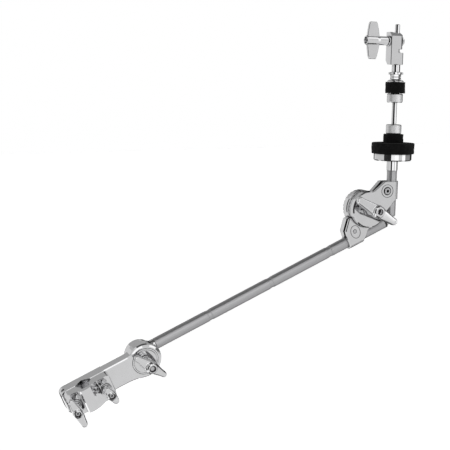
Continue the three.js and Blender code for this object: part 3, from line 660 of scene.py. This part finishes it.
def stage():
    """The plain pale floor. Returns the middle of the part."""
    low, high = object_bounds()
    middle = [(a + b) / 2 for a, b in zip(low, high)]
    half = FLOOR_HALF
    corners = [(-half, -half, 0), (half, -half, 0), (half, half, 0), (-half, half, 0)]
    place = Matrix.Translation((middle[0], middle[1], low[2] - FLOOR_GAP))
    floor = new_object("stage_floor", corners, [(0, 1, 2, 3)], place)
    material, tree, shader = new_material("stage_white")
    tint = ramp(tree, noise_of(tree, scale=3, detail=3), [(0.3, 0.93), (0.7, 0.96)])
    tree.links.new(tint, shader.inputs["Base Color"])
    shader.inputs["Roughness"].default_value = 1
    shader.inputs["Specular IOR Level"].default_value = 0
    shader.inputs["Emission Color"].default_value = (1, 1, 1, 1)
    shader.inputs["Emission Strength"].default_value = 0.5
    floor.data.materials.append(material)
    floor.visible_glossy = False
    floor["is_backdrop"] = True
    return Vector(middle)


def area_light(name, place, target, size, power):
    """A square soft light that metal doesn't mirror."""
    data = bpy.data.lights.new(name, "AREA")
    data.shape = "RECTANGLE"
    data.size = size
    data.size_y = size
    data.energy = power
    light = linked(name, data)
    light.location = place
    light.rotation_euler = (target - place).to_track_quat("-Z", "Y").to_euler()
    light.visible_glossy = False


def band(tree, value, low, high, soft):
    """1 between low and high, falling to 0 over soft."""
    rise = node_of(tree, "ShaderNodeMapRange", interpolation_type="SMOOTHSTEP")
    fall = node_of(tree, "ShaderNodeMapRange", interpolation_type="SMOOTHSTEP")
    for ends, at, sense in ((rise, low, 1), (fall, high, -1)):
        ends.inputs["From Min"].default_value = at - sense * soft
        ends.inputs["From Max"].default_value = at + sense * soft
        tree.links.new(value, ends.inputs["Value"])
    return math_node(tree, "MULTIPLY", rise.outputs["Result"], fall.outputs["Result"])


def card_share(tree, azimuth, elevation, card):
    """1 on a card, and 0 off it."""
    middle, half, low, high, _ = card
    away = math_node(tree, "SUBTRACT", azimuth, math.radians(middle))
    sine = math_node(tree, "SINE", away)
    cosine = math_node(tree, "COSINE", away)
    wrapped = math_node(tree, "ABSOLUTE", math_node(tree, "ARCTAN2", sine, cosine))
    across = band(tree, wrapped, -1, math.radians(half), CARD_EDGE)
    up = band(tree, elevation, math.radians(low), math.radians(high), CARD_EDGE * 2)
    return math_node(tree, "MULTIPLY", across, up)


def studio():
    """A light tent that metal sees, with bright and black cards round it. The camera sees plain white."""
    world = bpy.data.worlds.new("studio")
    bpy.context.scene.world = world
    world.use_nodes = True
    tree = world.node_tree
    tree.nodes.clear()
    place = node_of(tree, "ShaderNodeTexCoord")
    split = node_of(tree, "ShaderNodeSeparateXYZ")
    tree.links.new(place.outputs["Generated"], split.inputs[0])
    x, y, z = split.outputs
    azimuth = math_node(tree, "ARCTAN2", x, math_node(tree, "MULTIPLY", y, -1.0))
    elevation = math_node(tree, "ARCSINE", z)
    level = TENT
    for card in CARDS:
        share = card_share(tree, azimuth, elevation, card)
        step = math_node(tree, "MULTIPLY", share, math_node(tree, "SUBTRACT", card[-1], level))
        level = math_node(tree, "ADD", level, step)
    tent = node_of(tree, "ShaderNodeBackground")
    tree.links.new(level, tent.inputs["Color"])
    plain = node_of(tree, "ShaderNodeBackground")
    plain.inputs["Color"].default_value = (1, 1, 1, 1)
    sight = node_of(tree, "ShaderNodeLightPath")
    pick = node_of(tree, "ShaderNodeMixShader")
    tree.links.new(sight.outputs["Is Camera Ray"], pick.inputs[0])
    tree.links.new(tent.outputs[0], pick.inputs[1])
    tree.links.new(plain.outputs[0], pick.inputs[2])
    out = node_of(tree, "ShaderNodeOutputWorld")
    tree.links.new(pick.outputs[0], out.inputs["Surface"])


def camera():
    """The camera, at the view's angle and distance from its target."""
    back = Vector((
        math.sin(VIEW_AZIMUTH) * math.cos(VIEW_ELEVATION),
        -math.cos(VIEW_AZIMUTH) * math.cos(VIEW_ELEVATION),
        math.sin(VIEW_ELEVATION),
    ))
    data = bpy.data.cameras.new("camera")
    data.sensor_width = SENSOR_MM
    data.lens = LENS_MM
    made = linked("camera", data)
    made.location = VIEW_TARGET + back * VIEW_DISTANCE
    made.rotation_euler = (-back).to_track_quat("-Z", "Y").to_euler()
    bpy.context.scene.camera = made


centre = stage()
area_light("soft_key", centre + Vector((-1.6, -2.2, 2.4)), centre, size=1.6, power=12)
area_light("soft_fill", centre + Vector((2.4, -1.6, 1.4)), centre, size=1.4, power=6)
studio()
camera()
bpy.context.scene.view_settings.view_transform = "Standard"
